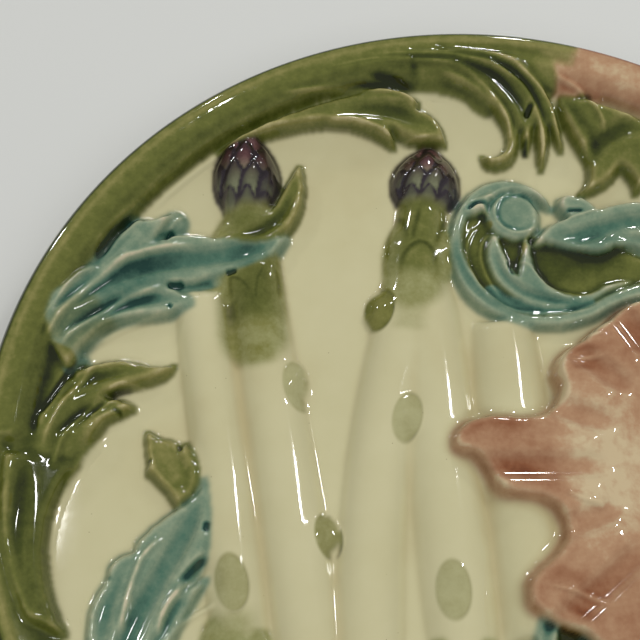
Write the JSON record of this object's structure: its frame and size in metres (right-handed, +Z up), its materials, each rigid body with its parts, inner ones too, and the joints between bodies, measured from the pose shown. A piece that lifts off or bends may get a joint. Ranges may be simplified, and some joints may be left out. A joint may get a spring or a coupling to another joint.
{
  "type": "asparagus plate",
  "caption": "Round relief-moulded earthenware plate with asparagus spears, acanthus leaves, scrolled volutes and a fluted sauce well under coloured glazes.",
  "frame": {"origin": "centre of the foot ring, on the surface that the plate stands on", "axes": "+Z up, +X towards the sauce well, +Y towards the heads of the two spears that point up"},
  "size_m": [0.24, 0.24, 0.024],
  "materials": {
    "cream_glaze": "glossy clear glaze over ivory slip",
    "olive_glaze": "glossy olive glaze, thin on the ridges",
    "teal_glaze": "glossy blue-green glaze, thin on the ridges",
    "pink_glaze": "glossy dusty pink glaze, worn to cream at the edges",
    "violet_glaze": "glossy dark violet glaze over grey green",
    "pale_green_glaze": "glossy pale green glaze fading into ivory"
  },
  "bodies": {
    "root": {"bottom_far_leaf": "olive_glaze", "bottom_inner_leaf": "olive_glaze", "bottom_leaf_curl": "olive_glaze", "bottom_rim_band": "olive_glaze", "bottom_volute_arm": "teal_glaze", "bottom_volute_button": "teal_glaze", "bottom_volute_field": "olive_glaze", "bottom_volute_inner_scroll": "teal_glaze", "bottom_volute_scroll": "teal_glaze", "corner_leaf": "teal_glaze", "corner_leaf_cap": "olive_glaze", "left_leaf": "teal_glaze", "left_leaf_curl": "olive_glaze", "left_rim_stem": "olive_glaze", "left_under_leaf": "olive_glaze", "plate_body": "cream_glaze", "right_rim_frill": "pink_glaze", "sauce_shell": "pink_glaze", "spear_1_bracts": "pale_green_glaze", "spear_1_bud": "violet_glaze", "spear_1_collar": "pale_green_glaze", "spear_1_stalk": "cream_glaze", "spear_2_bracts": "pale_green_glaze", "spear_2_bud": "violet_glaze", "spear_2_collar": "pale_green_glaze", "spear_2_stalk": "cream_glaze", "spear_3_bracts": "pale_green_glaze", "spear_3_bud": "violet_glaze", "spear_3_collar": "pale_green_glaze", "spear_3_stalk": "cream_glaze", "spear_4_bracts": "pale_green_glaze", "spear_4_bud": "violet_glaze", "spear_4_collar": "pale_green_glaze", "spear_4_stalk": "cream_glaze", "spear_5_stalk": "cream_glaze", "top_far_leaf": "olive_glaze", "top_inner_leaf": "olive_glaze", "top_leaf_curl": "olive_glaze", "top_rim_band": "olive_glaze", "top_volute_arm": "teal_glaze", "top_volute_button": "teal_glaze", "top_volute_field": "olive_glaze", "top_volute_inner_scroll": "teal_glaze", "top_volute_scroll": "teal_glaze"}
  },
  "joints": []
}
